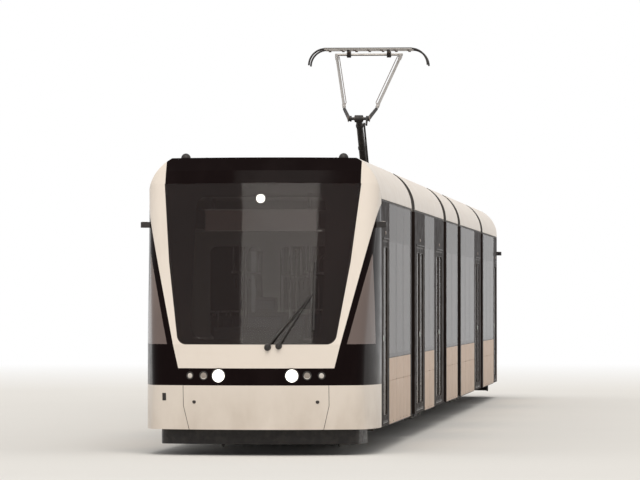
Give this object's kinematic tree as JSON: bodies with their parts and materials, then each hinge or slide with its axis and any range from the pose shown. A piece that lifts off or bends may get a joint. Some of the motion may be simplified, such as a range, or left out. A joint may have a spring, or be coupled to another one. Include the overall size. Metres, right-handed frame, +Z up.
{
  "type": "articulated tram",
  "caption": "Low-floor articulated city tram: hinged saloon modules on bogies, raked cabs at both ends, folding bellows and a raised pantograph.",
  "frame": {"origin": "midway along the tram on its centre line, level with the wheel flanges' lowest points", "axes": "+X towards the leading end, +Y its left side, +Z up"},
  "size_m": [32.643, 2.8, 5.5247],
  "materials": {
    "frame_black": "gloss black paint",
    "panel_white": "gloss warm white paint",
    "roof_grey": "matt grey paint",
    "window_glass": "dark tinted glass",
    "screen_glass": "tinted laminated glass",
    "interior_plastic": "matt moulded lining",
    "door_black": "gloss black paint",
    "mask_black": "gloss black moulding",
    "fitting_dark": "black and clear fittings",
    "bogie_metal": "matt dark paint",
    "bellows_rubber": "folded rubber",
    "wheel_steel": "turned steel",
    "panto_dark": "matt black paint",
    "panto_light": "weathered aluminium"
  },
  "bodies": {
    "module_c": {"carbody_frame_c": "frame_black", "side_panels_c": "panel_white", "roof_c": "roof_grey", "windows_c": "window_glass", "interior_c": "interior_plastic", "bogie_c": "bogie_metal", "wheel_boxes_c": "interior_plastic", "panto_base": "panto_dark"},
    "module_b": {"carbody_frame_b": "frame_black", "side_panels_b": "panel_white", "roof_b": "roof_grey", "windows_b": "window_glass", "interior_b": "interior_plastic", "doors_b": "door_black", "bellows_1": "bellows_rubber", "bellows_2": "bellows_rubber"},
    "module_a": {"carbody_frame_a": "frame_black", "side_panels_a": "panel_white", "roof_a": "roof_grey", "windows_a": "window_glass", "interior_a": "interior_plastic", "doors_a": "door_black", "bogie_a": "bogie_metal", "wheel_boxes_a": "interior_plastic", "front_panels_a": "panel_white", "front_mask_a": "mask_black", "windscreen_a": "screen_glass", "front_fittings_a": "fitting_dark"},
    "module_d": {"carbody_frame_d": "frame_black", "side_panels_d": "panel_white", "roof_d": "roof_grey", "windows_d": "window_glass", "interior_d": "interior_plastic", "doors_d": "door_black", "bellows_3": "bellows_rubber", "bellows_4": "bellows_rubber"},
    "module_e": {"carbody_frame_e": "frame_black", "side_panels_e": "panel_white", "roof_e": "roof_grey", "windows_e": "window_glass", "interior_e": "interior_plastic", "doors_e": "door_black", "bogie_e": "bogie_metal", "wheel_boxes_e": "interior_plastic", "front_panels_e": "panel_white", "front_mask_e": "mask_black", "windscreen_e": "screen_glass", "front_fittings_e": "fitting_dark"},
    "wheelset_1": {"wheelset_1": "wheel_steel"},
    "wheelset_2": {"wheelset_2": "wheel_steel"},
    "wheelset_3": {"wheelset_3": "wheel_steel"},
    "wheelset_4": {"wheelset_4": "wheel_steel"},
    "wheelset_5": {"wheelset_5": "wheel_steel"},
    "wheelset_6": {"wheelset_6": "wheel_steel"},
    "panto_lower_arm": {"panto_lower_arm": "panto_dark"},
    "panto_upper_arm": {"panto_upper_arm": "panto_light"},
    "panto_head": {"panto_head": "panto_light"},
    "panto_guide_rod": {"panto_guide_rod": "panto_dark"}
  },
  "joints": [
    {"name": "pivot_1", "type": "hinge", "parent": "module_b", "child": "module_a", "pos_m": [9.23, 0, 0.325], "axis": [0, 0, 1], "range_deg": [-20, 20], "deforming": ["bellows_1"]},
    {"name": "pivot_2", "type": "hinge", "parent": "module_c", "child": "module_b", "pos_m": [1.95, 0, 0.325], "axis": [0, 0, 1], "range_deg": [-20, 20], "deforming": ["bellows_2"]},
    {"name": "pivot_3", "type": "hinge", "parent": "module_c", "child": "module_d", "pos_m": [-1.95, 0, 0.325], "axis": [0, 0, 1], "range_deg": [-20, 20], "deforming": ["bellows_3"]},
    {"name": "pivot_4", "type": "hinge", "parent": "module_d", "child": "module_e", "pos_m": [-9.23, 0, 0.325], "axis": [0, 0, 1], "range_deg": [-20, 20], "deforming": ["bellows_4"]},
    {"name": "wheelset_spin_1", "type": "hinge", "parent": "module_a", "child": "wheelset_1", "pos_m": [13, 0, 0.325], "axis": [0, 1, 0], "continuous": true},
    {"name": "wheelset_spin_2", "type": "hinge", "parent": "module_a", "child": "wheelset_2", "pos_m": [11.2, 0, 0.325], "axis": [0, 1, 0], "continuous": true},
    {"name": "wheelset_spin_3", "type": "hinge", "parent": "module_c", "child": "wheelset_3", "pos_m": [0.9, 0, 0.325], "axis": [0, 1, 0], "continuous": true},
    {"name": "wheelset_spin_4", "type": "hinge", "parent": "module_c", "child": "wheelset_4", "pos_m": [-0.9, 0, 0.325], "axis": [0, 1, 0], "continuous": true},
    {"name": "wheelset_spin_5", "type": "hinge", "parent": "module_e", "child": "wheelset_5", "pos_m": [-11.2, 0, 0.325], "axis": [0, 1, 0], "continuous": true},
    {"name": "wheelset_spin_6", "type": "hinge", "parent": "module_e", "child": "wheelset_6", "pos_m": [-13, 0, 0.325], "axis": [0, 1, 0], "continuous": true},
    {"name": "panto_lower_hinge", "type": "hinge", "parent": "module_c", "child": "panto_lower_arm", "pos_m": [-0.65, 0, 3.575], "axis": [0, 1, 0], "range_deg": [-18, 29]},
    {"name": "panto_knuckle_hinge", "type": "hinge", "parent": "panto_lower_arm", "child": "panto_upper_arm", "pos_m": [0.63, 0, 4.385], "axis": [0, 1, 0], "range_deg": [-52.5, 33]},
    {"name": "panto_head_hinge", "type": "hinge", "parent": "panto_upper_arm", "child": "panto_head", "pos_m": [-1.43, 0, 5.43], "axis": [0, 1, 0], "range_deg": [-15, 23.5]},
    {"name": "panto_guide_hinge", "type": "hinge", "parent": "module_c", "child": "panto_guide_rod", "pos_m": [-0.4, 0.085, 3.49], "axis": [0, 1, 0], "range_deg": [-20.1, 31.7]}
  ],
  "couplings": [
    {"joint": "panto_guide_hinge", "follows": "panto_lower_hinge", "ratio": 1.06},
    {"joint": "panto_knuckle_hinge", "follows": "panto_lower_hinge", "ratio": -1.7751},
    {"joint": "panto_head_hinge", "follows": "panto_lower_hinge", "ratio": 0.7751}
  ]
}
